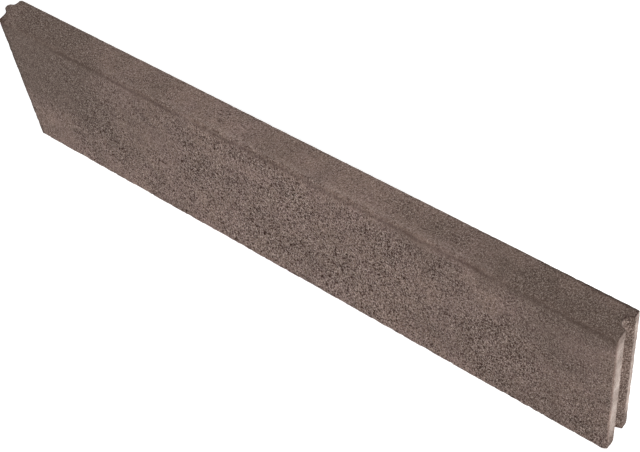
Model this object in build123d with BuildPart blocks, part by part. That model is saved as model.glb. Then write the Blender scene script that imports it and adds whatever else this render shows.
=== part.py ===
# Concrete edging kerb stone: one pressed casting, with a rounded tongue on one end
# and the matching groove in the other.
#
# Millimetres. X runs along the stone, from the tongue end to the groove end.
# Y runs through it, from the fair face to the back. Z runs up from the bed.
# The origin is the middle of the bed, below the middle of the whole stone.

import os

from build123d import *

# The stone
laid_length = 1000.0
height = 250.0
thickness = 50.0

# Tongue and groove, upright on the end faces, a little behind the middle
joint_setback = 2.5
tongue_radius = 7.5
tongue_height = 10.0
tongue_root_radius = 8.0
joint_clearance = 2.0
groove_depth = 9.5
groove_lip_radius = 2.5

# Fair-face top arris, bevelled by the rim of the press stamp
bevel_drop = 5.0
bevel_width = 2.5
bevel_crown_radius = 2.5

# The quirk, a shallow line where the rim of the stamp met the mould wall
quirk_depth = 0.8
quirk_width = 2.6

# Plain arrises
back_arris_radius = 3.0
end_arris_radius = 1.5

# Places along the stone: the tongue counts in its whole length
whole_length = laid_length + tongue_height
groove_end = whole_length / 2
tongue_end = groove_end - laid_length
body_middle = (tongue_end + groove_end) / 2

# The groove is the tongue's round with the clearance all round it
groove_radius = tongue_radius + joint_clearance
tongue_centre = (tongue_end - tongue_height + tongue_radius, joint_setback)
groove_centre = (groove_end - groove_depth + groove_radius, joint_setback)

# Faces of the stone across its thickness
fair_face = -thickness / 2
back_face = thickness / 2
bevel_foot = height - bevel_drop
quirk_foot = bevel_foot - quirk_width

with BuildPart() as kerb_stone:
    # Cross-section of the pressed bar, carried along the whole length
    with BuildSketch(Plane.YZ.offset(-whole_length / 2)) as section:
        with BuildLine():
            Polyline(
                (fair_face, 0),
                (back_face, 0),
                (back_face, height),
                (fair_face + bevel_width, height),
                (fair_face, bevel_foot),
                (fair_face + quirk_depth, bevel_foot - quirk_width / 2),
                (fair_face, quirk_foot),
                close=True,
            )
        make_face()
        fillet(section.vertices().group_by(Axis.Z)[-1].sort_by(Axis.Y)[0], bevel_crown_radius)
        fillet(section.vertices().group_by(Axis.Z)[-1].sort_by(Axis.Y)[-1], back_arris_radius)
    extrude(amount=whole_length)

    # Plan of the ends, which trims the bar to its tongue, groove and end arrises
    with BuildSketch(Plane.XY) as plan:
        with Locations((body_middle, 0)):
            Rectangle(laid_length, thickness)
        fillet(plan.vertices(), end_arris_radius)
        with Locations(tongue_centre):
            Circle(tongue_radius)
        with Locations(groove_centre):
            Circle(groove_radius, mode=Mode.SUBTRACT)
        # Each round meets its end face at the two corners nearest to its own centre
        fillet(plan.vertices().sort_by_distance(tongue_centre)[:2], tongue_root_radius)
        fillet(plan.vertices().sort_by_distance(groove_centre)[:2], groove_lip_radius)
    extrude(amount=height, mode=Mode.INTERSECT)

kerb_stone.part.label = "kerb_stone"

os.makedirs("parts", exist_ok=True)
export_step(kerb_stone.part, "parts/kerb_stone.step")
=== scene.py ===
"""Concrete edging kerb stone: its worn casting, its finish, the studio and the camera.

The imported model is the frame. X runs along the stone from the tongue end to the groove
end, Y from the fair face to the back, and Z up from the bed. All lengths are in metres.
"""

import logging
import math
from collections.abc import Sequence
from dataclasses import dataclass
from enum import Enum
from typing import Any

import bpy
import numpy as np
from mathutils import Matrix, Vector


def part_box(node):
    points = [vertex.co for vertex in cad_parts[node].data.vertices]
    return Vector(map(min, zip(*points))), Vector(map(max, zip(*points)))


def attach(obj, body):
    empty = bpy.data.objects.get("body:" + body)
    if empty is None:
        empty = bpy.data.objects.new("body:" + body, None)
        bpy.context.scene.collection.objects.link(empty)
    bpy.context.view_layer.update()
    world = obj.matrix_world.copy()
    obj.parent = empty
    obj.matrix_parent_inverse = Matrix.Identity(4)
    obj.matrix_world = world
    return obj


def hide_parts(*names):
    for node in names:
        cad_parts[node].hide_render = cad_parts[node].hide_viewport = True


Array = np.ndarray
LOG = logging.getLogger("kerb")
MM = 0.001
PHOTO_WIDTH_PX = 640
NODE = "kerb_stone"
PIECE = "kerb_casting"
MATH = "ShaderNodeMath"
MIX = "ShaderNodeMix"
RANGE = "ShaderNodeMapRange"

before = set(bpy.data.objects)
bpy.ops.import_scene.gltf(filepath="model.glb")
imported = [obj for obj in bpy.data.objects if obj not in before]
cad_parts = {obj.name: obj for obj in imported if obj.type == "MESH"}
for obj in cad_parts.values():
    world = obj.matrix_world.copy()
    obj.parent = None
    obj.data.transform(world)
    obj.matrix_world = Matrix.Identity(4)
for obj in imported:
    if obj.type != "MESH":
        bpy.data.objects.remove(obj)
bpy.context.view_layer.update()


class Zone(Enum):
    """The faces of the stone, as the press and the mould left them."""

    FAIR = 0
    TOP = 1
    BACK = 2
    BED = 3
    STRIP = 4
    GROOVE = 5
    TONGUE = 6


def srgb_to_linear(colour: str) -> tuple[float, float, float, float]:
    """Turn an sRGB hex colour into linear light.

    Args:
        colour: Six hex digits after a hash sign.

    Returns:
        Linear red, green and blue, and an alpha of one.
    """
    parts = [int(colour[i : i + 2], 16) / 255 for i in (1, 3, 5)]
    linear = [c / 12.92 if c <= 0.04045 else ((c + 0.055) / 1.055) ** 2.4 for c in parts]
    return (linear[0], linear[1], linear[2], 1.0)


def smooth(low: float, high: float, value: Array) -> Array:
    """Ease from 0 at low to 1 at high: three t squared less two t cubed."""
    t = np.clip((value - low) / (high - low), 0.0, 1.0)
    return t * t * (3.0 - 2.0 * t)


def bell(distance: Array, width: float | Array) -> Array:
    """A bell curve: e to the power of minus the square of distance over width."""
    return np.exp(-((distance / width) ** 2))


@dataclass(frozen=True)
class Ramp:
    """An eased step along one measure.

    Attributes:
        start: Where it starts from nothing.
        end: Where it is complete, which may lie before the start.
        size: What it comes to.
    """

    start: float
    end: float
    size: float = 1.0

    def at(self, value: Array) -> Array:
        """How much of it there is at each value."""
        return self.size * smooth(self.start, self.end, value)


def arc_fall(over: Array, radius: float) -> Array:
    """How far a quarter circle has fallen back at some distance past its start."""
    past = np.clip(over, 0.0, radius)
    return radius - np.sqrt(radius**2 - past**2)


def lattice_random(cells: Array, seed: int) -> Array:
    """Give each lattice cell its own number between 0 and 1.

    The three whole numbers of a cell are each multiplied by a large odd number, joined
    by exclusive or, and stirred by shifts and multiplications.

    Args:
        cells: Whole numbers, the last axis holding x, y and z.
        seed: Picks one of many fields.

    Returns:
        One number for each cell.
    """
    keys = cells.astype(np.int64).astype(np.uint64)
    mixed = keys[..., 0] * np.uint64(0x9E3779B97F4A7C15)
    mixed ^= keys[..., 1] * np.uint64(0xC2B2AE3D27D4EB4F)
    mixed ^= keys[..., 2] * np.uint64(0x165667B19E3779F9)
    mixed ^= np.uint64(seed * 0x9FB21C651E98DF25 % (1 << 64))
    for shift in (31, 29):
        mixed ^= mixed >> np.uint64(shift)
        mixed *= np.uint64(0xBF58476D1CE4E5B9)
    mixed ^= mixed >> np.uint64(32)
    return (mixed >> np.uint64(40)).astype(np.float64) / float(1 << 24)


def value_noise(points: Array, scale: float, seed: int) -> Array:
    """Smooth noise: random values on a lattice, eased between the eight corners.

    Args:
        points: Places, one row each.
        scale: Lattice spacing.
        seed: Picks one of many fields.

    Returns:
        Noise from -1 to 1 at each place.
    """
    grid = points / scale
    base = np.floor(grid)
    t = grid - base
    t = t * t * (3.0 - 2.0 * t)
    total = np.zeros(len(points))
    for corner in np.ndindex(2, 2, 2):
        weight = np.prod(np.where(np.array(corner) == 1, t, 1.0 - t), axis=1)
        total += weight * lattice_random(base + corner, seed)
    return 2.0 * total - 1.0


@dataclass(frozen=True)
class Octave:
    """One layer of smooth noise.

    Attributes:
        amount: How strong it is.
        width: Lattice spacing.
        seed: Picks one of many fields.
    """

    amount: float
    width: float
    seed: int


Octaves = tuple[Octave, ...]


def layered(points: Array, octaves: Octaves) -> Array:
    """Sum of layers of smooth noise at each point, each times its amount."""
    return sum(octave.amount * value_noise(points, octave.width, octave.seed) for octave in octaves)


def pit_field(points: Array, spacing: float, radii: tuple[float, float], seed: int) -> Array:
    """Round pits scattered through space, cut by the surface where it passes.

    Each lattice cell holds one ball at a random place with a random radius. A pit is
    one less the squared distance over the squared radius, and the deepest of the balls
    in the 27 cells around a point counts.

    Args:
        points: Places, one row each.
        spacing: Lattice spacing, which is the mean distance between balls.
        radii: Smallest and largest radius.
        seed: Picks one of many fields.

    Returns:
        From 0, no pit, to 1, the middle of a ball.
    """
    base = np.floor(points / spacing)
    deepest = np.zeros(len(points))
    for step in np.ndindex(3, 3, 3):
        cell = base + np.array(step) - 1
        jitter = [lattice_random(cell, seed + k) for k in (1, 2, 3)]
        centre = (cell + np.stack(jitter, axis=1)) * spacing
        radius = radii[0] + (radii[1] - radii[0]) * lattice_random(cell, seed + 4) ** 2
        reach = np.sum((points - centre) ** 2, axis=1) / radius**2
        deepest = np.maximum(deepest, 1.0 - reach)
    return deepest


def spaced(stops: tuple[tuple[float, float], ...], pitch: float) -> Array:
    """Places along a line whose spacing narrows where detail needs it.

    The count between two neighbouring stops is their distance over the pitch, times
    the crowding given with the later stop.

    Args:
        stops: Place and crowding of each stop, in order. The first crowding is unused.
        pitch: Plain spacing.

    Returns:
        The places, from the first stop to the last.
    """
    places = [np.array([stops[0][0]])]
    for (start, _), (end, crowding) in zip(stops, stops[1:]):
        count = max(1, round((end - start) / pitch * crowding))
        places.append(np.linspace(start, end, count + 1)[1:])
    return np.concatenate(places)


@dataclass(frozen=True)
class Chip:
    """A break at a corner or arris: what lies past a slanting plane is knocked off.

    Attributes:
        place: The corner or arris point, as shares from -1 to 1 of the stone's half
            length, half thickness and half height.
        slant: Outward direction of the break.
        depth: How far in the break starts from that point, along the slant.
        reach: How far from that point the break runs.
        overrun: Multiple of its reach past which the break takes nothing.
        rough: Roughness of the broken face.
    """

    place: tuple[float, float, float]
    slant: tuple[float, float, float]
    depth: float
    reach: float
    overrun: float = 1.2
    rough: Octaves = (Octave(1.1 * MM, 5 * MM, 50), Octave(0.5 * MM, 2.2 * MM, 51))

    def knock(self, points: Array, low: Vector, high: Vector) -> Array:
        """Move what lies past the break back to it.

        The break lies across the slant. It is deepest at the corner and comes out at its
        reach, by the square of the distance.

        Args:
            points: Points of the worn casting.
            low: Lowest corner of the stone's box.
            high: Highest corner of that box.

        Returns:
            The points after the break.
        """
        middle = np.array((low + high) / 2)
        half = np.array((high - low) / 2)
        corner = middle + half * np.array(self.place)
        slant = np.array(self.slant) / np.linalg.norm(self.slant)
        away = np.linalg.norm(points - corner, axis=1)
        past = (points - corner) @ slant + self.depth * (1.0 - (away / self.reach) ** 2)
        past += layered(points, self.rough)
        near = away < self.overrun * self.reach
        return points - np.where(near, np.clip(past, 0.0, None), 0.0)[:, None] * slant


CHIPS = (
    Chip((1.0, -1.0, -1.0), (0.50, -0.36, -0.79), 4.6 * MM, 26 * MM),
    Chip((1.0, -1.0, -1.0), (0.84, -0.46, -0.28), 2.6 * MM, 48 * MM),
    Chip((1.0, -0.34, -1.0), (0.52, 0.48, -0.70), 3.6 * MM, 17 * MM),
    Chip((1.0, 1.0, -1.0), (0.55, 0.50, -0.67), 2.6 * MM, 18 * MM),
    Chip((1.0, -1.0, 1.0), (0.60, -0.60, 0.53), 1.8 * MM, 12 * MM),
    Chip((-1.0, -1.0, 1.0), (-0.55, -0.60, 0.58), 2.6 * MM, 14 * MM),
    Chip((-0.98, 1.0, 1.0), (-0.55, 0.50, 0.67), 2.8 * MM, 14 * MM),
    Chip((0.56, 1.0, 1.0), (0.0, 0.75, 0.66), 1.8 * MM, 6 * MM),
    Chip((0.82, 1.0, 1.0), (0.0, 0.70, 0.71), 2.0 * MM, 7 * MM),
)


@dataclass(frozen=True)
class Surface:
    """Points of the plain casting, and where each one lies.

    Attributes:
        points: The points, one row each.
        zones: Zone number of each.
        arris: Distance to the nearest arris.
        along: Share of the whole length, from 0 at the tongue to 1.
        rim: Distance from the crease's line, in the plane of the section.
    """

    points: Array
    zones: Array
    arris: Array
    along: Array
    rim: Array

    def on(self, *zones: Zone) -> list[Array]:
        """Which points are on each of some faces."""
        return [self.zones == zone.value for zone in zones]


@dataclass(frozen=True)
class PressedSkin:
    """Relief of dry-pressed concrete: what the press leaves open between the grains.

    Widths of bands are those of bell curves, to either side.

    Attributes:
        swell: Slow waves of a pressed face.
        swell_depth: Their depth.
        grain: Coarser sand grains, and finer ones between them.
        grain_depth: Relief between those grains.
        closed_grain: Share of that relief that a closed surface keeps.
        pore_spacing: Mean distance between the open pores.
        pore_radii: Smallest and largest pore.
        pore_depth: Depth of the largest pore.
        pore_seed: Picks their field of balls.
        pore_warp: What bends them out of round, along each axis.
        pore_closing: How fast a closing surface fills them.
        open_share: How open each face is, in the order of Zone.
        open_swing: How much the patches change that, in the same order.
        open_mean: What the patches swing about.
        most_open: Above this, a surface looks no more open.
        patches: Patches that were pressed less tightly.
        loose_at_bed: How much more open the fair face is at the bed.
        looser_per_metre: How much that falls per metre of height.
        loosest_at: Place along the fair face where the mould was filled least.
        loosest_width: Width of that place.
        loosest_by: How much more open it is there.
        fair_to_tongue: How the fair face closes towards the tongue end.
        fair_to_groove: How it closes towards the groove end.
        top_to_groove: How the top closes towards the groove end.
        strip_to_bed: How the end strips open towards the bed.
        rim_closing: How far the rim of the stamp closes the surface.
        rim_width: Width of that band.
        wear: What sets the worn stretches of an arris apart.
        wear_share: Which part of that counts as worn.
        wear_least: Share of the wear that every stretch has.
        wear_reach: Width of the wear.
        wear_depth: Most that the arris loses.
    """

    swell: Octaves = (Octave(1.0, 90 * MM, 1),)
    swell_depth: float = 0.25 * MM
    grain: Octaves = (Octave(0.65, 3.2 * MM, 5), Octave(0.35, 1.6 * MM, 6))
    grain_depth: float = 0.5 * MM
    closed_grain: float = 0.35
    pore_spacing: float = 6.0 * MM
    pore_radii: tuple[float, float] = (0.9 * MM, 2.5 * MM)
    pore_depth: float = 1.7 * MM
    pore_seed: int = 30
    pore_warp: Octaves = tuple(Octave(0.8 * MM, 3 * MM, seed) for seed in (20, 21, 22))
    pore_closing: float = 0.9
    open_share: tuple[float, ...] = (0.86, 0.6, 0.8, 0.7, 0.36, 0.75, 0.45)
    open_swing: tuple[float, ...] = (0.36, 0.2, 0.4, 0.3, 0.3, 0.4, 0.3)
    open_mean: float = 0.95
    most_open: float = 1.3
    patches: Octaves = (Octave(1.0, 48 * MM, 3), Octave(0.6, 16 * MM, 4))
    loose_at_bed: float = 1.36
    looser_per_metre: float = 2.4
    loosest_at: float = 30 * MM
    loosest_width: float = 140 * MM
    loosest_by: float = 0.5
    fair_to_tongue: Ramp = Ramp(-150 * MM, -500 * MM, 0.22)
    fair_to_groove: Ramp = Ramp(220 * MM, 460 * MM, 0.3)
    top_to_groove: Ramp = Ramp(100 * MM, 400 * MM, 0.14)
    strip_to_bed: Ramp = Ramp(46 * MM, 14 * MM)
    rim_closing: float = 0.45
    rim_width: float = 9 * MM
    wear: Octaves = (Octave(1.0, 9 * MM, 7), Octave(0.5, 4 * MM, 8))
    wear_share: Ramp = Ramp(-0.15, 0.75)
    wear_least: float = 0.25
    wear_reach: float = 1.8 * MM
    wear_depth: float = 0.8 * MM

    def openness(self, surface: Surface) -> Array:
        """How open the surface is: a share set by the zone, times slow patches.

        The fair face opens in a straight line from the bevel down to the bed, as the
        press packed it less there. It is most open near the middle of its length and
        closes towards both ends. The top closes towards the groove end, and the end
        strips open towards the bed. The rim of the stamp closes a band on both sides of
        the bevel, which fades as a bell curve.

        Args:
            surface: Points of the plain casting.

        Returns:
            From 0, a closed cement skin, by way of 1, open texture, to about 2.
        """
        x, _, z = surface.points.T
        patches = np.clip(layered(surface.points, self.patches), -1.0, 1.0)
        share, swing = (np.array(by_face)[surface.zones] for by_face in (self.open_share, self.open_swing))
        closing = 1.0 - self.rim_closing * bell(surface.rim, self.rim_width)
        fair = self.loose_at_bed - self.looser_per_metre * z
        fair *= 1.0 - self.fair_to_tongue.at(x) - self.fair_to_groove.at(x)
        fair *= 1.0 + self.loosest_by * bell(x - self.loosest_at, self.loosest_width)
        strip = 1.0 + self.strip_to_bed.at(z)
        top = 1.0 - self.top_to_groove.at(x)
        packing = np.select(surface.on(Zone.FAIR, Zone.STRIP, Zone.TOP), [fair, strip, top], 1.0)
        return share * (self.open_mean + swing * patches) * closing * packing

    def pores(self, points: Array, openness: Array) -> Array:
        """Open pores: scattered balls, which shrink where the surface closes up.

        Args:
            points: Points of the plain casting.
            openness: How open the surface is there.

        Returns:
            From 0, no pore, to 1, the bottom of a large one.
        """
        warp = np.stack([layered(points, (octave,)) for octave in self.pore_warp], axis=1)
        depth = pit_field(points + warp, self.pore_spacing, self.pore_radii, self.pore_seed)
        closed = self.pore_closing * np.clip(1.0 - openness, 0.0, None)
        return np.clip((depth - closed) * openness, 0.0, 1.0)

    def depth(self, surface: Surface, openness: Array, pores: Array) -> Array:
        """How far the real surface lies inside the plain one.

        The sum of slow waves, two octaves of grain, the pores, and the wear, which
        fades as a bell curve from the arris.

        Args:
            surface: Points of the plain casting.
            openness: How open the surface is there.
            pores: Pores there.

        Returns:
            Depth inwards.
        """
        swell, grain, wear = (layered(surface.points, layer) for layer in (self.swell, self.grain, self.wear))
        swell = self.swell_depth * 0.5 * (1 + swell)
        kept = self.closed_grain + (1 - self.closed_grain) * openness
        rough = self.grain_depth * kept * 0.5 * (1 + grain)
        wear = self.wear_depth * (self.wear_least + (1 - self.wear_least) * self.wear_share.at(wear))
        return swell + rough + self.pore_depth * pores + wear * bell(surface.arris, self.wear_reach)


@dataclass(frozen=True)
class StampCrease:
    """The ragged line under the bevel, where the stamp's rim met the mould wall.

    Attributes:
        below_bevel: How far its middle lies below the foot of the bevel.
        depth: Its depth where it is plain to see.
        half_width: Width of its bell curve, to either side.
        wander: How its middle wanders up and down.
        mean: Its mean strength.
        pulse: How its strength comes and goes.
        least: Strength where it is almost closed.
        along: How it opens with the distance from the tongue's shoulder.
        at_shoulder: How it opens again close to the shoulder.
    """

    below_bevel: float = 1.9 * MM
    depth: float = 0.7 * MM
    half_width: float = 4.4 * MM
    wander: Octaves = (Octave(1.1 * MM, 24 * MM, 40), Octave(0.6 * MM, 7 * MM, 41))
    mean: float = 0.9
    pulse: Octaves = (Octave(0.3, 45 * MM, 42),)
    least: float = 0.25
    along: Ramp = Ramp(50 * MM, 190 * MM, 0.75)
    at_shoulder: Ramp = Ramp(26 * MM, 12 * MM, 0.7)

    def cut(self, points: Array, foot: float, shoulder: float) -> Array:
        """How deep the crease is: a groove whose section is a bell curve.

        Args:
            points: Points of the plain casting.
            foot: Height of the foot of the bevel.
            shoulder: X of the tongue's shoulder.

        Returns:
            Depth inwards, at any point as if it were on the fair face.
        """
        x, _, z = points.T
        line = np.stack([x, np.zeros_like(x), np.zeros_like(x)], axis=1)
        start = x - shoulder
        strength = self.mean + layered(line, self.pulse)
        strength *= self.least + self.along.at(start) + self.at_shoulder.at(start)
        off = z - (foot - self.below_bevel + layered(line, self.wander))
        return self.depth * strength * bell(off, self.half_width)


@dataclass(frozen=True)
class ToneAndShade:
    """How much darker the stone is, in slow drifts over its faces, with painted shade on the groove's back
    wall.

    Ramps along the stone run in shares of its length, from 0 at the tongue to 1.

    Attributes:
        plain: Tone of the plain concrete.
        to_groove: How it darkens towards the groove end.
        top_share: How much of that the front of the top has.
        top_back: How much less its back has.
        face_share: How much of it the other faces have.
        band_share: How much more a band below the bevel has.
        band_width: Width of that band, as a bell curve.
        to_tongue: How it darkens towards the tongue end.
        fair_rise: How much of that the fair face has, by height.
        top_at_tongue: How much of it the top has.
        rest_at_tongue: How much of it the other faces have.
        margin: Height of the blotchy pale margin along the bed.
        margin_start: How it starts after the tongue.
        margin_end: How it ends before the groove.
        margin_mean: What its blotches swing about.
        blotches: Those blotches.
        margin_pale: How pale it is.
        wall: How much the groove's back wall darkens, as painted shade in the groove.
        foot: How the foot of the end strips darkens.
        end_pale: How much paler the ends are than the rest.
        clouds: Soft clouds over all.
    """

    plain: float = 0.36
    to_groove: Ramp = Ramp(0.67, 0.94)
    top_share: float = 0.68
    top_back: Ramp = Ramp(-5 * MM, 15 * MM, 0.22)
    face_share: float = 0.3
    band_share: float = 0.4
    band_width: float = 28 * MM
    to_tongue: Ramp = Ramp(0.37, 0.08)
    fair_rise: Ramp = Ramp(30 * MM, 200 * MM)
    top_at_tongue: float = 0.75
    rest_at_tongue: float = 0.3
    margin: Ramp = Ramp(60 * MM, 15 * MM)
    margin_start: Ramp = Ramp(0.0, 0.12)
    margin_end: Ramp = Ramp(1.0, 0.8)
    margin_mean: float = 0.6
    blotches: Octaves = (Octave(0.8, 30 * MM, 72),)
    margin_pale: float = 0.45
    wall: float = 0.55
    foot: Ramp = Ramp(46 * MM, 14 * MM, 0.65)
    end_pale: float = 0.25
    clouds: Octaves = (
        Octave(0.3, 70 * MM, 70),
        Octave(0.24, 28 * MM, 71),
        Octave(0.14, 12 * MM, 73),
    )

    def at(self, stone: "KerbStone", surface: Surface) -> Array:
        """Tone of each point: the drifts and clouds are added up.

        Args:
            stone: The casting.
            surface: Its plain points.

        Returns:
            From 0, the palest, to 1, the darkest.
        """
        _, y, z = surface.points.T
        along, up = surface.along, z - stone.low.z
        on_fair, on_top, *on_ends = surface.on(Zone.FAIR, Zone.TOP, Zone.GROOVE, Zone.STRIP)
        band = self.face_share + self.band_share * bell(surface.rim, self.band_width)
        top = self.top_share - self.top_back.at(y)
        to_groove = self.to_groove.at(along) * np.where(on_top, top, band)
        by_face = [self.fair_rise.at(up), self.top_at_tongue]
        to_tongue = self.to_tongue.at(along) * np.select([on_fair, on_top], by_face, self.rest_at_tongue)
        margin = self.margin.at(up) * self.margin_end.at(along) * self.margin_start.at(along)
        margin *= self.margin_mean + layered(surface.points, self.blotches)
        pale = np.where(on_fair, self.margin_pale * margin, 0.0)
        # Painted shade: the groove's back wall is darkened where shade falls in the groove.
        wall = self.wall * smooth(*stone.groove_wall, y)
        end = np.select(on_ends, [wall - self.end_pale, self.foot.at(up) - self.end_pale], 0.0)
        clouds = layered(surface.points, self.clouds)
        return np.clip(self.plain + to_groove + to_tongue + end + clouds - pale, 0.0, 1.0)


@dataclass(frozen=True)
class CementSkin:
    """The pale cement skin of the end faces, and its trace along the top, which is partly a painted
    highlight.

    Attributes:
        strip: How much of it the end strips have.
        tongue: How much the tongue has.
        floor: How much the groove's floor has.
        edge: How it starts with the distance from an arris.
        ragged: What makes that edge ragged.
        rise: How it comes back above the bed, on the fair side of the ends.
        least: How much of it is left at the bed there.
        polish_and_highlight: How pale the trace along the top is, polished by the stamp's rim and partly a
            painted highlight on the front of the top.
        polish_and_highlight_in: How far in from the fair face that trace lies.
        polish_and_highlight_width: Width of the trace, as a bell curve.
        broken_loss: How much of it goes where the stone is broken.
    """

    strip: float = 1.0
    tongue: float = 0.6
    floor: float = 0.75
    edge: Ramp = Ramp(0.2 * MM, 3.6 * MM)
    ragged: Octaves = (Octave(1.3 * MM, 6 * MM, 60),)
    rise: Ramp = Ramp(14 * MM, 46 * MM, 0.8)
    least: float = 0.2
    polish_and_highlight: float = 0.22
    polish_and_highlight_in: float = 5.0 * MM
    polish_and_highlight_width: float = 4.5 * MM
    broken_loss: float = 0.85

    def at(self, stone: "KerbStone", surface: Surface, broken: Array) -> Array:
        """How much skin covers each point.

        Args:
            stone: The casting.
            surface: Its plain points.
            broken: Where chips are off, from 0 to 1.

        Returns:
            From 0, bare concrete, to 1, skin.
        """
        _, y, z = surface.points.T
        start, full = stone.groove_wall
        *on_ends, on_top = surface.on(Zone.STRIP, Zone.TONGUE, Zone.GROOVE, Zone.TOP)
        shares = [self.strip, self.tongue, self.floor * smooth(full, start, y)]
        kept = np.where(y < 0, self.least + self.rise.at(z - stone.low.z), 1.0)
        edge = self.edge.at(surface.arris + layered(surface.points, self.ragged))
        ends = np.select(on_ends, shares, 0.0) * edge * kept
        # Along the front of the top: a pale trace polished by the stamp's rim, partly a painted highlight.
        trace = self.polish_and_highlight * bell(y - stone.low.y - self.polish_and_highlight_in, self.polish_and_highlight_width)
        return np.maximum(ends, np.where(on_top, trace, 0.0)) * (1.0 - self.broken_loss * broken)


@dataclass(frozen=True)
class ArrisLineAndShade:
    """A dark line along the arrises: painted shade on the back's top arris, where the back chamfer lies in
    shade.

    Attributes:
        back: Share on the back's top arris.
        back_to_groove: How it grows there in the last tenth before the groove.
        tongue: Share on the fair face's arris at the tongue end.
        tongue_band: How far in from the shoulder that one counts.
        tongue_spread: How much wider it is.
        rest: Share on the other arrises.
        reach: Width of the line, as a bell curve.
    """

    back: float = 0.1
    back_to_groove: Ramp = Ramp(0.86, 0.96, 0.9)
    tongue: float = 0.8
    tongue_band: float = 10 * MM
    tongue_spread: float = 2.4
    rest: float = 0.02
    reach: float = 1.9 * MM

    def at(self, stone: "KerbStone", surface: Surface) -> Array:
        """How dark the line is at each point.

        Args:
            stone: The casting.
            surface: Its plain points.

        Returns:
            From 0, none, to 1, darkest.
        """
        x, y, z = surface.points.T
        # Painted shade along the back's top arris, stronger towards the groove end.
        back_top = (y > 0) & (z > stone.high.z / 2)
        at_tongue = (y < 0) & (x < stone.shoulder + self.tongue_band)
        back = self.back + self.back_to_groove.at(surface.along)
        share = np.select([back_top, at_tongue], [back, self.tongue], self.rest)
        return share * bell(surface.arris, self.reach * np.where(at_tongue, self.tongue_spread, 1.0))


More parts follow.
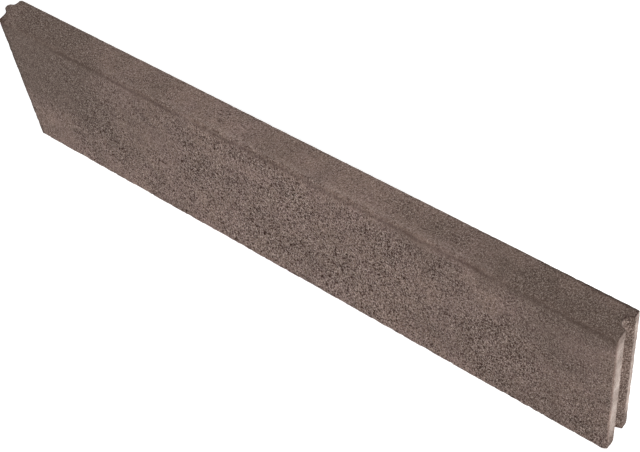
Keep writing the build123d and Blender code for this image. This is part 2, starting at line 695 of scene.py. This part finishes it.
@dataclass
class KerbStone:
    """The casting: a bar of constant section between a tongue end and a groove end.

    The sizes of its joint, bevel and arrises have the names that the part's source
    gives them.

    Attributes:
        low: Lowest corner of its box.
        high: Highest corner of its box.
        relief: Relief of its surface.
        crease: The line under the bevel.
        tone: Its drifts in tone, with painted shade in its groove.
        skin: Its cement skin, with a trace along the front of its top that is partly a painted highlight.
        arris_line_and_shade: The dark line on its arrises, painted shade on the back's top arris.
        chips: What is broken off.
        broken: How far a point has to be knocked back to count as broken.
        pitch: Plain spacing of its grid.
        bend: How far from an end its grid follows the end's outline.
        triangles: How many it may have.
    """

    low: Vector
    high: Vector
    tongue_height: float = 10.0 * MM
    tongue_radius: float = 7.5 * MM
    tongue_root_radius: float = 8.0 * MM
    groove_radius: float = 9.5 * MM
    groove_lip_radius: float = 2.5 * MM
    joint_setback: float = 2.5 * MM
    bevel_drop: float = 5.0 * MM
    bevel_width: float = 2.5 * MM
    bevel_crown_radius: float = 2.5 * MM
    back_arris_radius: float = 3.0 * MM
    end_arris_radius: float = 1.5 * MM
    relief: PressedSkin = PressedSkin()
    crease: StampCrease = StampCrease()
    tone: ToneAndShade = ToneAndShade()
    skin: CementSkin = CementSkin()
    arris_line_and_shade: ArrisLineAndShade = ArrisLineAndShade()
    chips: tuple[Chip, ...] = CHIPS
    broken: Ramp = Ramp(0.1 * MM, 0.6 * MM)
    pitch: float = 1.8 * MM
    bend: float = 60.0 * MM
    triangles: int = 192_000

    @property
    def shoulder(self) -> float:
        """X of the flat shoulders beside the tongue."""
        return self.low.x + self.tongue_height

    @property
    def bevel_foot(self) -> float:
        """Height where the fair face meets the bevel."""
        return self.high.z - self.bevel_drop

    @property
    def groove_wall(self) -> tuple[float, float]:
        """Y where the groove's floor starts to turn into its back wall, and where it has."""
        return self.joint_setback + 1 * MM, self.joint_setback + 5 * MM

    def tongue(self, y: Array) -> Array:
        """How far the tongue stands out of the shoulder at each y.

        A circle for the crown, and on each side a hollow arc tangent to that circle and
        to the shoulder.

        Args:
            y: Places across the stone.

        Returns:
            Distance out from the shoulder.
        """
        side = np.abs(y - self.joint_setback)
        crown, root = self.tongue_radius, self.tongue_root_radius
        rise = self.tongue_height - crown
        spread = math.sqrt((crown + root) ** 2 - (root - rise) ** 2)
        meet = spread * crown / (crown + root)
        dome = rise + np.sqrt(np.clip(crown**2 - side**2, 0.0, None))
        return np.where(side < meet, dome, arc_fall(spread - side, root))

    def groove(self, y: Array) -> Array:
        """How deep the groove is at each y.

        A half circle about the end plane, and on each side a round lip tangent to that
        circle and to the end plane.

        Args:
            y: Places across the stone.

        Returns:
            Distance in from the end plane.
        """
        side = np.abs(y - self.joint_setback)
        bowl, lip = self.groove_radius, self.groove_lip_radius
        spread = math.sqrt((bowl + lip) ** 2 - lip**2)
        meet = spread * bowl / (bowl + lip)
        hollow = np.sqrt(np.clip(bowl**2 - side**2, 0.0, None))
        return np.where(side < meet, hollow, arc_fall(spread - side, lip))

    def ends(self, y: Array) -> tuple[Array, Array]:
        """X of the tongue end and of the groove end at each y.

        Args:
            y: Places across the stone.

        Returns:
            The two outlines in plan, with their rounded arrises.
        """
        fall = arc_fall(np.abs(y) - (self.high.y - self.end_arris_radius), self.end_arris_radius)
        return self.shoulder + fall - self.tongue(y), self.high.x - fall - self.groove(y)

    def sides(self, z: Array) -> tuple[Array, Array]:
        """Y of the fair face and of the back at each height.

        The fair face is upright to the bevel, leans back in a straight line, and turns
        into the top on a circle tangent to both. The back is upright to its arris,
        which is a quarter circle.

        Args:
            z: Heights above the bed.

        Returns:
            The two outlines of the section.
        """
        lean = np.clip(z - self.bevel_foot, 0.0, None) * self.bevel_width / self.bevel_drop
        turn = math.atan2(self.bevel_drop, self.bevel_width)
        tangent = self.bevel_crown_radius * math.tan(turn / 2)
        crown_y = self.bevel_width + tangent
        up = np.clip(z - (self.high.z - self.bevel_crown_radius), 0.0, self.bevel_crown_radius)
        crown = crown_y - np.sqrt(self.bevel_crown_radius**2 - up**2)
        on_crown = z > self.high.z - tangent * math.sin(turn)
        fall = arc_fall(z - (self.high.z - self.back_arris_radius), self.back_arris_radius)
        return self.low.y + np.where(on_crown, crown, lean), self.high.y - fall

    def lines(self) -> tuple[Array, Array, Array]:
        """Grid lines along, across and up the stone, crowded where it turns.

        Returns:
            Distances from the shoulder, places across, and heights.
        """
        low, high, mid = self.low, self.high, self.joint_setback
        edge, wall, crease, crown, skim = 2.5 * MM, 3.5 * MM, 5.0 * MM, 1.5 * MM, 0.3 * MM
        flank, inner = self.groove_radius + self.groove_lip_radius, self.groove_radius - wall
        length = high.x - self.shoulder
        along = ((0, 1), (edge, 2), (length - edge, 1), (length, 2))
        across = (
            (low.y, 1),
            (low.y + edge, 2.2),
            (mid - flank, 1.0),
            (mid - inner, 2.0),
            (mid + inner, 1.0),
            (mid + flank, 2.0),
            (high.y - edge, 1.0),
            (high.y, 2.2),
        )
        up = (
            (low.z, 1),
            (low.z + edge, 2),
            (self.bevel_foot - crease, 1),
            (high.z - crown, 1.8),
            (high.z - skim, 3),
            (high.z, 4),
        )
        return spaced(along, self.pitch), spaced(across, self.pitch), spaced(up, self.pitch)

    def plain(self) -> tuple[Array, Array]:
        """The unworn casting as one closed surface of six joined grids.

        A box of whole-number cells is bent to the stone. A point of the box lies at its
        share of the way between the section's two sides at its height. Along the stone
        it keeps its distance from the shoulder, and near an end it moves with that
        end's outline, less and less with the distance from it.

        Returns:
            Points, and quads as rows of four point numbers that face outwards.
        """
        along, across, up = self.lines()
        shell = np.ones((len(along), len(across), len(up)), dtype=bool)
        shell[1:-1, 1:-1, 1:-1] = False
        numbers = np.full(shell.shape, -1, dtype=np.int64)
        numbers[shell] = np.arange(shell.sum())
        i, j, k = np.nonzero(shell)
        z = up[k]
        front, back = self.sides(z)
        share = (across[j] - self.low.y) / (self.high.y - self.low.y)
        y = front + (back - front) * share
        left, right = self.ends(y)
        near_left = 1.0 - smooth(0.0, self.bend, along[i])
        near_right = 1.0 - smooth(0.0, self.bend, along[-1] - along[i])
        x = self.shoulder + along[i] + near_left * (left - self.shoulder) + near_right * (right - self.high.x)
        return np.stack([x, y, z], axis=1), self.quads(numbers)

    @staticmethod
    def quads(numbers: Array) -> Array:
        """Join the shell of a box of cells by quads that face outwards.

        Args:
            numbers: Point number at each place of the box, over x, y and z.

        Returns:
            Rows of four point numbers.
        """
        sheets = (
            (numbers[0], True),
            (numbers[-1], False),
            (numbers[:, 0], False),
            (numbers[:, -1], True),
            (numbers[:, :, 0], True),
            (numbers[:, :, -1], False),
        )
        rows = []
        for sheet, flipped in sheets:
            corners = [sheet[:-1, :-1], sheet[1:, :-1], sheet[1:, 1:], sheet[:-1, 1:]]
            if flipped:
                corners.reverse()
            rows.append(np.stack([c.ravel() for c in corners], axis=1))
        return np.concatenate(rows)

    def survey(self, points: Array) -> Surface:
        """Find which face each plain point is on, and how far it is from an arris.

        Of the distances to the two ends, the two sides and the top or bed, the least
        names the face, and the middle one is the distance to the nearest arris.

        Args:
            points: Points of the plain casting.

        Returns:
            The points and where they lie.
        """
        x, y, z = points.T
        left, right = self.ends(y)
        front, back = self.sides(z)
        to_end = np.minimum(x - left, right - x)
        to_side = np.minimum(y - front, back - y)
        to_level = np.minimum(z - self.low.z, self.high.z - z)
        distances = np.stack([to_end, to_side, to_level])
        in_joint = np.abs(y - self.joint_setback) < self.groove_radius + self.groove_lip_radius
        joint = np.where(x > 0, Zone.GROOVE.value, Zone.TONGUE.value)
        at_end = np.where(in_joint, joint, Zone.STRIP.value)
        at_side = np.where(y < 0, Zone.FAIR.value, Zone.BACK.value)
        at_level = np.where(z > self.high.z / 2, Zone.TOP.value, Zone.BED.value)
        zones = np.choose(np.argmin(distances, axis=0), [at_end, at_side, at_level])
        along = (x - self.low.x) / (self.high.x - self.low.x)
        rim = np.hypot(y - self.low.y, z - (self.bevel_foot - self.crease.below_bevel))
        return Surface(points, zones, np.sort(distances, axis=0)[1], along, rim)

    def build(self) -> bpy.types.Object:
        """Make the worn casting and thin it where it is plain.

        Returns:
            The finished piece.
        """
        points, quads = self.plain()
        mesh = bpy.data.meshes.new(PIECE)
        mesh.from_pydata(points, [], quads)
        normals = np.empty(len(points) * 3, dtype=np.float32)
        mesh.vertices.foreach_get("normal", normals)
        normals = normals.reshape(-1, 3).astype(float)
        surface = self.survey(points)
        openness = self.relief.openness(surface)
        pores = self.relief.pores(points, openness)
        on_fair = points[:, 1] < self.low.y + self.bevel_width
        crease = np.where(on_fair, self.crease.cut(points, self.bevel_foot, self.shoulder), 0.0)
        depth = self.relief.depth(surface, openness, pores) + crease
        whole = points - normals * depth[:, None]
        worn = whole
        for chip in self.chips:
            worn = chip.knock(worn, self.low, self.high)
        broken = self.broken.at(np.linalg.norm(worn - whole, axis=1))
        worn = np.clip(worn, np.array(self.low), np.array(self.high))
        mesh.vertices.foreach_set("co", worn.ravel())
        marks = {
            # Darkens the pores' colour: their own dark, and painted shade in them.
            "pore": pores,
            "open": np.clip(np.maximum(openness, broken), 0.0, self.relief.most_open),
            # Darkens the crease's colour: its rough burr, and painted shade in it.
            "crease": crease / self.crease.depth,
            # Pale skin; its trace along the front of the top is partly a painted highlight.
            "skin": self.skin.at(self, surface, broken),
            # The dark line on the arrises: painted shade on the back's top arris.
            "rim": self.arris_line_and_shade.at(self, surface),
            # Drifts in tone, with painted shade on the groove's back wall.
            "tone": self.tone.at(self, surface),
        }
        for name, values in marks.items():
            layer = mesh.attributes.new(name, "FLOAT", "POINT")
            layer.data.foreach_set("value", values.astype(np.float32))
        mesh.polygons.foreach_set("use_smooth", np.ones(len(quads), dtype=bool))
        mesh.update()
        piece = bpy.data.objects.new(PIECE, mesh)
        bpy.context.scene.collection.objects.link(piece)
        self.thin(piece, len(quads) * 2)
        return piece

    def thin(self, piece: bpy.types.Object, triangles: int) -> None:
        """Collapse the plainest edges until the piece has its share of triangles.

        Args:
            piece: The casting.
            triangles: How many it has now.
        """
        if triangles <= self.triangles:
            return
        thinner = piece.modifiers.new("thin", "DECIMATE")
        thinner.ratio = self.triangles / triangles
        graph = bpy.context.evaluated_depsgraph_get()
        mesh = bpy.data.meshes.new_from_object(piece.evaluated_get(graph), depsgraph=graph)
        piece.modifiers.clear()
        piece.data = mesh


class NodeBoard:
    """A material's or world's node tree, with one way to add a node to it."""

    def __init__(self, tree: bpy.types.NodeTree) -> None:
        """Empty the tree."""
        self.tree = tree
        self.tree.nodes.clear()

    def add(self, kind: str, inputs: dict[Any, Any] | Sequence[Any] = (), **settings: Any) -> bpy.types.Node:
        """Add a node, set it up and link it.

        Args:
            kind: Blender's name for the node's type.
            inputs: By socket name or number, or in the sockets' order: a value, another
                node's output, or a node, for the first of its outputs that is in use.
            settings: The node's own settings.

        Returns:
            The new node.
        """
        node = self.tree.nodes.new(kind)
        for name, value in settings.items():
            setattr(node, name, value)
        for name, value in inputs.items() if isinstance(inputs, dict) else enumerate(inputs):
            if isinstance(value, bpy.types.Node):
                value = next(output for output in value.outputs if output.enabled)
            if isinstance(value, bpy.types.NodeSocket):
                self.tree.links.new(value, node.inputs[name])
            else:
                node.inputs[name].default_value = value
        return node


@dataclass(frozen=True)
class PressedConcrete:
    """Dry-pressed concrete, coloured brown through and through with iron oxide.

    Cement paste round sharp sand gives the eye a matt brown-grey with a fine salt and
    pepper of grains, dark open pores, patches where the texture closes up, and a paler
    skin where the mould's end plates rubbed it. The dark of the hollows, pores and
    crease is partly painted shade; the line on the back's top arris and the darker back
    wall of the groove are painted shade; the skin's trace along the top is partly a
    painted highlight. Each map holds the lowest and highest value that it takes, and
    the result for each.

    Attributes:
        brown: The paste.
        cool: The paste where more of the grey cement shows.
        dark: Hollows between the grains: their darker paste, with painted shade.
        light: Faces of the sand grains.
        pore: Depths of the open pores, dark in themselves and with painted shade; the crease and the arris
            line take it too.
        skin: Cement skin of the end faces.
        shade: What the slow drifts in tone lead to, and the painted shade in the groove.
        gloss: How much of the usual shine the open pores leave.
        grain: Width of the sand grains.
        lump: Width of the clusters that they form.
        grit_shares: Shares of the two in the grit.
        patch: Width of the drifts between the two pastes.
        blotch: Width of the worn spots in the skin.
        noise_roughness: How strong each noise's finer octaves are.
        noise_bend: How much each noise is bent.
        pore_spacing: Distance between the small pores.
        pore_variety: How much they differ in size.
        pore_shade_strength: How dark they are, partly with painted shade in them.
        pore_sink: How deep they are, beside the grit.
        arris_shade_strength: How dark the line on the arrises is, painted shade on the back's top arris.
        relief: Height of the bumps.
        drawn: How much finer the grain is along, across and up, as the press drew it.
        hollow_shade_map: Grit to the hollows' darkness, partly painted shade.
        grain_map: Grit to bright grains.
        ragged_map: Fine grit to the raggedness of the small pores.
        pore_map: Distance from a small pore's middle to its darkness.
        pore_open_map: Openness to how much the small pores show.
        paste_map: Drift to the second paste.
        skin_map: Worn spots to skin.
        pit_shade_map: Pores of the surface to their darkness, partly painted shade in them.
        crease_shade_map: The crease to its darkness: its rough, open burr, and painted shade in it.
    """

    name: str = "pressed_brown_concrete"
    brown: str = "#8C766C"
    cool: str = "#8A746D"
    dark: str = "#331A10"
    light: str = "#C5B3A8"
    pore: str = "#2A1107"
    skin: str = "#C6B7AE"
    shade: str = "#61524A"
    roughness: float = 0.92
    ior: float = 1.5
    gloss: float = 0.25
    grain: float = 1.2 * MM
    lump: float = 2.5 * MM
    grit_shares: tuple[float, float] = (0.55, 0.45)
    patch: float = 50 * MM
    blotch: float = 7 * MM
    noise_roughness: float = 0.55
    noise_bend: float = 0.5
    pore_spacing: float = 3.8 * MM
    pore_variety: float = 0.3
    pore_shade_strength: float = 0.85
    pore_sink: float = 0.5
    arris_shade_strength: float = 0.6
    relief: float = 2.0 * MM
    drawn: tuple[float, float, float] = (1.5, 1.1, 0.85)
    hollow_shade_map: tuple[float, ...] = (0.37, 0.482, 1.1, 0.0)
    grain_map: tuple[float, ...] = (0.525, 0.63, 0.0, 0.9)
    ragged_map: tuple[float, ...] = (0.3, 0.7, -0.1, 0.1)
    pore_map: tuple[float, ...] = (0.08, 0.24, 1.0, 0.0)
    pore_open_map: tuple[float, ...] = (0.35, 0.95, 0.25, 1.0)
    paste_map: tuple[float, ...] = (0.4, 0.6, 0.0, 1.0)
    skin_map: tuple[float, ...] = (0.38, 0.58, 0.6, 1.0)
    pit_shade_map: tuple[float, ...] = (0.05, 0.45, 0.0, 0.9)
    crease_shade_map: tuple[float, ...] = (0.1, 1.0, 0.0, 0.45)

    def make(self) -> bpy.types.Material:
        """Build the material.

        The cooler paste, the skin, the drift in tone, the hollows, grains, pores, crease
        and arris line are laid over the brown paste one by one. The dark of the hollows,
        pores and crease is partly painted shade, the arris line is painted shade on the
        back's top arris, the tone is painted shade on the groove's back wall, and the
        skin's trace along the top is partly a painted highlight.

        Returns:
            The material, on Object coordinates and the piece's own attributes.
        """
        material = bpy.data.materials.new(self.name)
        material.use_nodes = True
        add = NodeBoard(material.node_tree).add
        colours = (self.brown, self.cool, self.dark, self.light, self.pore, self.skin, self.shade)
        brown, cool, dark, light, pore, skin, shade = map(srgb_to_linear, colours)
        unturned = add("ShaderNodeTexCoord").outputs["Object"]
        place = add("ShaderNodeMapping", {"Vector": unturned, "Scale": self.drawn})
        openness, shaded_pits, shaded_crease, skinned, arris_shaded, toned_and_shaded = (
            add("ShaderNodeAttribute", attribute_name=mark).outputs["Fac"]
            for mark in ("open", "pore", "crease", "skin", "rim", "tone")
        )
        bent = {"Vector": place, "Roughness": self.noise_roughness, "Distortion": self.noise_bend}
        fine, coarse, drift, spots = (
            add("ShaderNodeTexNoise", bent | {"Scale": 1 / width, "Detail": detail})
            for width, detail in ((self.grain, 1.0), (self.lump, 1.0), (self.patch, 1.0), (self.blotch, 2.0))
        )
        parts = [add(MATH, pair, operation="MULTIPLY") for pair in zip((fine, coarse), self.grit_shares)]
        grit = add(MATH, parts, operation="ADD")
        # Dark hollows: partly the paste there, partly painted shade.
        hollows = add(MATH, (add(RANGE, (grit, *self.hollow_shade_map)), openness), operation="MULTIPLY")
        grains = add(MATH, (add(RANGE, (grit, *self.grain_map)), openness), operation="MULTIPLY")

        cells = add("ShaderNodeTexVoronoi", {"Vector": place, "Scale": 1 / self.pore_spacing})
        ragged = add(MATH, (cells.outputs["Distance"], add(RANGE, (fine, *self.ragged_map))), operation="ADD")
        variety = add(MATH, (cells.outputs["Color"], self.pore_variety), operation="MULTIPLY")
        sized = add(MATH, (ragged, variety), operation="SUBTRACT")
        shown = add(RANGE, (openness, *self.pore_open_map))
        pores = add(MATH, (add(RANGE, (sized, *self.pore_map)), shown), operation="MULTIPLY")

        # Painted shade and highlight: the hollows, pores, pits and crease darken partly as painted shade, the
        # arris line is painted shade on the back's top arris, the tone is painted shade on the groove's back
        # wall, and the skin's trace on the top is partly a painted highlight.
        colour = brown
        layers = (
            (add(RANGE, (drift, *self.paste_map)), cool),
            (add(MATH, (skinned, add(RANGE, (spots, *self.skin_map))), operation="MULTIPLY"), skin),
            (toned_and_shaded, shade),
            (hollows, dark),
            (grains, light),
            (add(MATH, (pores, self.pore_shade_strength), operation="MULTIPLY"), pore),
            (add(RANGE, (shaded_pits, *self.pit_shade_map)), pore),
            (add(RANGE, (shaded_crease, *self.crease_shade_map)), pore),
            (add(MATH, (arris_shaded, self.arris_shade_strength), operation="MULTIPLY"), pore),
        )
        for amount, over in layers:
            colour = add(MIX, {0: amount, 6: colour, 7: over}, data_type="RGBA")

        raised = add(MATH, (grit, openness), operation="MULTIPLY")
        sunk = add(MATH, (pores, self.pore_sink), operation="MULTIPLY")
        height = add(MATH, (raised, sunk), operation="SUBTRACT")
        bump = add("ShaderNodeBump", {"Height": height, "Strength": 1.0, "Distance": self.relief})
        shader = add(
            "ShaderNodeBsdfPrincipled",
            {
                "Base Color": colour,
                "Roughness": self.roughness,
                "IOR": self.ior,
                "Specular IOR Level": self.gloss,
                "Normal": bump,
            },
        )
        add("ShaderNodeOutputMaterial", {"Surface": shader})
        return material


@dataclass(frozen=True)
class PhotoCamera:
    """The photograph's camera, found by fitting the stone's edges.

    Attributes:
        place: Where it stands, in metres from the middle of the bed.
        yaw: Degrees that it looks to the left of straight at the fair face.
        pitch: Degrees that it looks down.
        roll: Degrees that its right side rises.
        focal_px: Focal length in pixels of the photograph.
        shift: How far the picture is cropped off the lens's axis, right and up, as
            shares of its width.
    """

    place: tuple[float, float, float] = (0.8656, -0.8145, 1.5835)
    yaw: float = 49.993
    pitch: float = 49.601
    roll: float = -13.856
    focal_px: float = 1388.5
    shift: tuple[float, float] = (0.1406, -0.0625)

    def make(self) -> None:
        """Stand the camera in the scene and make it the scene's own."""
        yaw, pitch, roll = (math.radians(a) for a in (self.yaw, self.pitch, self.roll))
        ahead = Vector((-math.sin(yaw) * math.cos(pitch), math.cos(yaw) * math.cos(pitch), -math.sin(pitch)))
        level = ahead.cross(Vector((0, 0, 1))).normalized()
        upright = level.cross(ahead)
        right = math.cos(roll) * level + math.sin(roll) * upright
        over = math.cos(roll) * upright - math.sin(roll) * level
        data = bpy.data.cameras.new("photo_camera")
        data.sensor_width = 36.0
        data.lens = self.focal_px / PHOTO_WIDTH_PX * data.sensor_width
        data.shift_x, data.shift_y = self.shift
        camera = bpy.data.objects.new("photo_camera", data)
        turn = Matrix((right, over, -ahead)).transposed().to_4x4()
        camera.matrix_world = Matrix.Translation(self.place) @ turn
        bpy.context.scene.collection.objects.link(camera)
        bpy.context.scene.camera = camera


@dataclass(frozen=True)
class Lamp:
    """A distant soft lamp.

    Attributes:
        name: What it is called.
        strength: Its light, where pi lights a facing surface to its own colour.
        towards: Direction from the stone to the lamp.
        breadth: How wide it looks, in degrees.
    """

    name: str
    strength: float
    towards: tuple[float, float, float]
    breadth: float

    def hang(self) -> None:
        """Put the lamp in the scene."""
        light = bpy.data.lights.new(self.name, "SUN")
        light.energy = self.strength
        light.angle = math.radians(self.breadth)
        lamp = bpy.data.objects.new(self.name, light)
        lamp.rotation_euler = Vector(self.towards).to_track_quat("Z", "Y").to_euler()
        bpy.context.scene.collection.objects.link(lamp)


@dataclass(frozen=True)
class Studio:
    """A pale floor under an even sky, a lamp at the groove end and a fill behind.

    Attributes:
        floor_half: Half the floor's side.
        floor_colour: Paint of the floor.
        lift: Light added to the floor for the camera alone, which brings it to white.
        sky: Strength of the even light.
        lamps: The lamps.
    """

    floor_half: float = 8.0
    floor_colour: str = "#EFEFEF"
    lift: float = 0.65
    sky: float = 0.36
    lamps: tuple[Lamp, ...] = (
        Lamp("key", 3.2, (0.83, -0.40, 0.44), 14.0),
        Lamp("fill", 0.9, (-0.45, 0.80, 0.40), 60.0),
    )

    def make(self, level: float) -> None:
        """Lay the floor and hang the light.

        Args:
            level: Height of the floor.
        """
        s = self.floor_half
        corners = [(-s, -s, level), (s, -s, level), (s, s, level), (-s, s, level)]
        mesh = bpy.data.meshes.new("floor")
        mesh.from_pydata(corners, [], [(0, 1, 2, 3)])
        floor = bpy.data.objects.new("floor", mesh)
        bpy.context.scene.collection.objects.link(floor)
        mesh.materials.append(self.paint())
        for lamp in self.lamps:
            lamp.hang()
        self.hang_sky()

    def paint(self) -> bpy.types.Material:
        """Pale floor paint that the camera sees as white where nothing shades it."""
        material = bpy.data.materials.new("floor_paint")
        material.use_nodes = True
        add = NodeBoard(material.node_tree).add
        seen = add("ShaderNodeLightPath").outputs["Is Camera Ray"]
        matt = add("ShaderNodeBsdfDiffuse", {"Color": srgb_to_linear(self.floor_colour)})
        glow = add("ShaderNodeEmission", {"Strength": add(MATH, (seen, self.lift), operation="MULTIPLY")})
        add("ShaderNodeOutputMaterial", {"Surface": add("ShaderNodeAddShader", (matt, glow))})
        return material

    def hang_sky(self) -> None:
        """Even light all round, seen as white by the camera and in reflections."""
        world = bpy.data.worlds.new("studio")
        world.use_nodes = True
        bpy.context.scene.world = world
        add = NodeBoard(world.node_tree).add
        ray = add("ShaderNodeLightPath")
        seen = ray.outputs["Is Camera Ray"]
        for kind in ("Is Glossy Ray", "Is Transmission Ray"):
            seen = add(MATH, (seen, ray.outputs[kind]), operation="MAXIMUM")
        strength = add(RANGE, (seen, 0.0, 1.0, self.sky, 1.0))
        shine = add("ShaderNodeBackground", {"Color": (1.0, 1.0, 1.0, 1.0), "Strength": strength})
        add("ShaderNodeOutputWorld", {"Surface": shine})


def dress(piece: bpy.types.Object, material: bpy.types.Material) -> None:
    """Give a piece its finish and its place in the frame.

    Args:
        piece: The worn casting.
        material: Its finish.
    """
    piece.data.materials.clear()
    piece.data.materials.append(material)
    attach(piece, "root")
    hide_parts(NODE)
    LOG.info("%s: %d points, %d faces", piece.name, len(piece.data.vertices), len(piece.data.polygons))


def main() -> None:
    """Build the stone, the studio and the camera."""
    logging.basicConfig(level=logging.INFO)
    bpy.context.scene.view_settings.view_transform = "Standard"
    low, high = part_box(NODE)
    stone = KerbStone(Vector(low), Vector(high))
    dress(stone.build(), PressedConcrete().make())
    Studio().make(stone.low.z)
    PhotoCamera().make()


if __name__ == "__main__":
    main()
